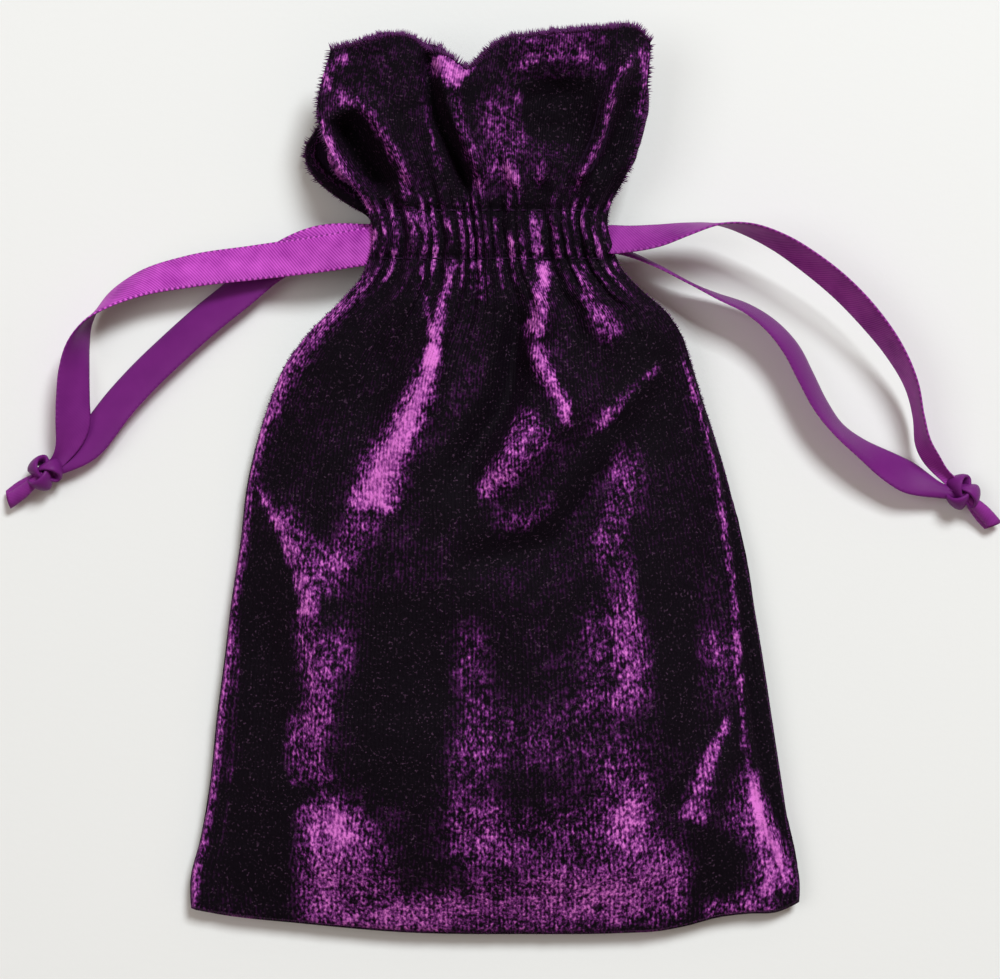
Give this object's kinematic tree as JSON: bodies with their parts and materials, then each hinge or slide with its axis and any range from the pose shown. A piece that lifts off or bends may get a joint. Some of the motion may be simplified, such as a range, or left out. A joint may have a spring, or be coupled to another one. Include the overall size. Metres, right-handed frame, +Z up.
{
  "type": "drawstring pouch",
  "caption": "Flat velvet drawstring pouch with a ruffled header, a gathered channel and satin ribbons knotted at each side, for holding dice.",
  "frame": {"origin": "on the table under the middle of the fabric's own box, with the free ribbons left out", "axes": "+X to the pouch's right as it lies with its front up, +Y from the bottom seam to the mouth, +Z up from the table through the front panel"},
  "size_m": [0.1707, 0.1518, 0.0193],
  "materials": {
    "dark_velvet": "crushed knitted velvet pile",
    "satin_ribbon": "single-faced satin",
    "sewing_thread": "matt polyester thread"
  },
  "bodies": {
    "bag": {"front_panel": "dark_velvet", "back_panel": "dark_velvet", "front_casing": "dark_velvet", "back_casing": "dark_velvet", "left_side_stitching": "sewing_thread", "right_side_stitching": "sewing_thread", "bottom_stitching": "sewing_thread", "front_casing_lower_stitching": "sewing_thread", "front_casing_upper_stitching": "sewing_thread", "back_casing_lower_stitching": "sewing_thread", "back_casing_upper_stitching": "sewing_thread", "left_ribbon_bend": "satin_ribbon", "right_ribbon_bend": "satin_ribbon"},
    "front_header": {"front_header": "dark_velvet"},
    "back_header": {"back_header": "dark_velvet"},
    "left_drawstring": {"left_ribbon_front_run": "satin_ribbon", "left_ribbon_back_run": "satin_ribbon"},
    "right_drawstring": {"right_ribbon_front_run": "satin_ribbon", "right_ribbon_back_run": "satin_ribbon"},
    "left_loop": {"left_ribbon_front_strand": "satin_ribbon", "left_ribbon_back_strand": "satin_ribbon", "left_knot": "satin_ribbon", "left_tail_front": "satin_ribbon", "left_tail_back": "satin_ribbon"},
    "right_loop": {"right_ribbon_front_strand": "satin_ribbon", "right_ribbon_back_strand": "satin_ribbon", "right_knot": "satin_ribbon", "right_tail_front": "satin_ribbon", "right_tail_back": "satin_ribbon"}
  },
  "joints": [
    {"name": "front_header_fold", "type": "hinge", "parent": "bag", "child": "front_header", "pos_m": [0, 0.0459, 0.0139], "axis": [1, 0, 0], "range_deg": [0, 60]},
    {"name": "back_header_fold", "type": "hinge", "parent": "bag", "child": "back_header", "pos_m": [0, 0.0459, 0.0036], "axis": [1, 0, 0], "range_deg": [0, 8]},
    {"name": "left_drawstring_pull", "type": "slide", "parent": "bag", "child": "left_drawstring", "axis": [-1, 0, 0], "range_m": [0, 0.012]},
    {"name": "right_drawstring_pull", "type": "slide", "parent": "bag", "child": "right_drawstring", "axis": [1, 0, 0], "range_m": [0, 0.012]},
    {"name": "left_loop_swing", "type": "hinge", "parent": "left_drawstring", "child": "left_loop", "pos_m": [-0.023, 0.04, 0.0076], "axis": [0, 0, 1], "range_deg": [-30, 25]},
    {"name": "right_loop_swing", "type": "hinge", "parent": "right_drawstring", "child": "right_loop", "pos_m": [0.023, 0.043, 0.0076], "axis": [0, 0, 1], "range_deg": [-15, 30]}
  ]
}
